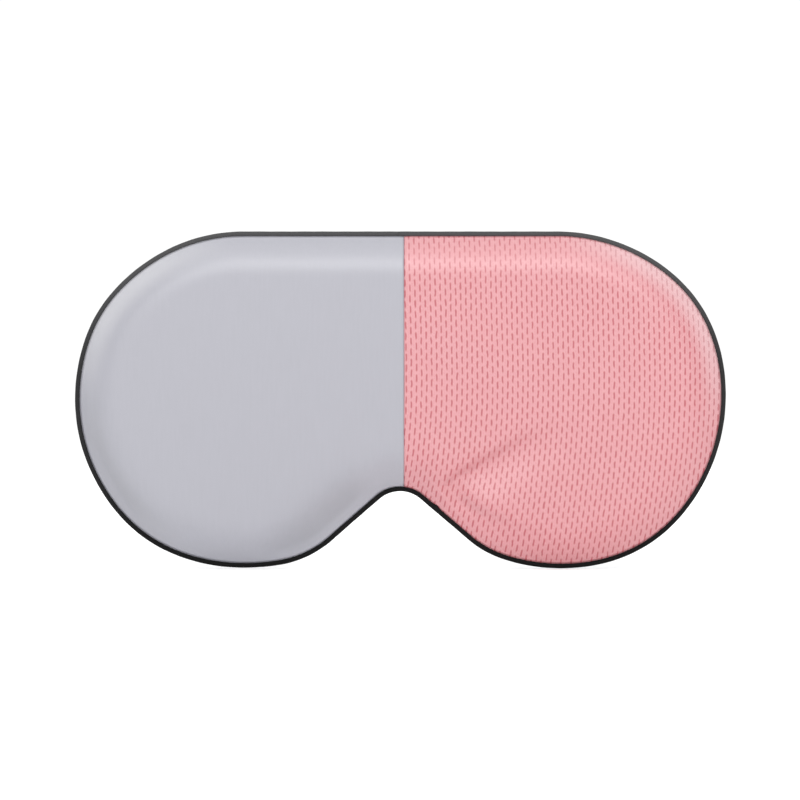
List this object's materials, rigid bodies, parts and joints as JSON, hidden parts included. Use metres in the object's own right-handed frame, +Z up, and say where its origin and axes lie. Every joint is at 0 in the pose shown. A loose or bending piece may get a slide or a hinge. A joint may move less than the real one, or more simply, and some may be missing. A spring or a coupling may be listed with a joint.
{
  "type": "eye massager mask",
  "caption": "Soft padded eye massager mask, grey satin and pink mesh halves with dark piping, vibration motors and heating films inside, on an elastic strap with a control pod.",
  "frame": {"origin": "middle of the bounding box's underside, level with the lowest point of the two lobes", "axes": "+X to the right looking at the front face, -Y out of the front face, +Z up towards the brow edge"},
  "size_m": [0.21, 0.1281, 0.1086],
  "materials": {
    "pink_mesh": "open pique knit, matt",
    "grey_satin": "smooth satin weave, soft sheen",
    "lining": "brushed soft lining",
    "piping": "tight woven bias cord",
    "foam": "open-cell foam padding",
    "heating_film": "amber polyimide film",
    "steel": "plain",
    "motor_weight": "sintered metal",
    "rubber": "moulded",
    "wire": "silicone sheath",
    "elastic": "ribbed woven elastic",
    "hook_loop": "hook-and-loop tape",
    "pod_shell": "fine moulded texture",
    "button_caps": "soft-touch",
    "lens": "frosted clear",
    "circuit_board": "solder mask",
    "battery_wrap": "foil pouch"
  },
  "bodies": {
    "right_half": {"front_panel_right": "pink_mesh", "rear_panel_right": "lining", "piping_right": "piping", "front_foam_right": "foam", "rear_foam_right": "foam", "heating_film_right": "heating_film", "temperature_sensor_right": "steel", "motor_holder_right": "rubber", "motor_can_right": "steel", "motor_end_plate_right": "steel", "wiring_right": "wire", "strap_tab_right": "elastic", "bridge_jumper": "wire"},
    "left_half": {"front_panel_left": "grey_satin", "rear_panel_left": "lining", "piping_left": "piping", "front_foam_left": "foam", "rear_foam_left": "foam", "heating_film_left": "heating_film", "temperature_sensor_left": "steel", "motor_holder_left": "rubber", "motor_can_left": "steel", "motor_end_plate_left": "steel", "wiring_left": "wire", "strap_tab_left": "elastic"},
    "strap_right": {"strap_right": "elastic", "loop_patch": "hook_loop", "pod_clip": "pod_shell", "pod_base": "pod_shell", "pod_cover": "pod_shell", "pod_screw_1": "steel", "pod_screw_2": "steel", "pod_screw_3": "steel", "pod_screw_4": "steel", "battery_cell": "battery_wrap", "control_board": "circuit_board", "power_switch": "steel", "mode_switch": "steel", "usb_c_socket": "steel", "status_lens": "lens", "pod_lead": "wire"},
    "strap_left": {"strap_left": "elastic", "hook_patch": "hook_loop"},
    "power_button": {"power_button": "button_caps"},
    "mode_button": {"mode_button": "button_caps"},
    "motor_rotor_right": {"motor_rotor_right": "motor_weight"},
    "motor_rotor_left": {"motor_rotor_left": "motor_weight"}
  },
  "joints": [
    {"name": "bridge_fold", "type": "hinge", "parent": "right_half", "child": "left_half", "pos_m": [0.0013, -0.0641, 0.05448], "axis": [0, 0, 1], "range_deg": [-12, 165], "deforming": ["bridge_jumper"]},
    {"name": "strap_tilt_right", "type": "hinge", "parent": "right_half", "child": "strap_right", "pos_m": [0.094, -0.0461, 0.05448], "axis": [1, 0, 0], "range_deg": [-25, 25], "deforming": ["pod_lead"]},
    {"name": "strap_tilt_left", "type": "hinge", "parent": "left_half", "child": "strap_left", "pos_m": [-0.094, -0.0461, 0.05448], "axis": [1, 0, 0], "range_deg": [-25, 25]},
    {"name": "power_button_press", "type": "slide", "parent": "strap_right", "child": "power_button", "axis": [-1, 0, 0], "range_m": [0, 0.0005]},
    {"name": "mode_button_press", "type": "slide", "parent": "strap_right", "child": "mode_button", "axis": [-1, 0, 0], "range_m": [0, 0.0005]},
    {"name": "motor_spin_right", "type": "hinge", "parent": "right_half", "child": "motor_rotor_right", "pos_m": [0.0507, -0.0605, 0.07047], "axis": [0, 1, 0], "continuous": true},
    {"name": "motor_spin_left", "type": "hinge", "parent": "left_half", "child": "motor_rotor_left", "pos_m": [-0.0507, -0.0605, 0.07047], "axis": [0, 1, 0], "continuous": true}
  ],
  "couplings": [
    {"joint": "strap_tilt_left", "follows": "strap_tilt_right", "ratio": 1}
  ]
}
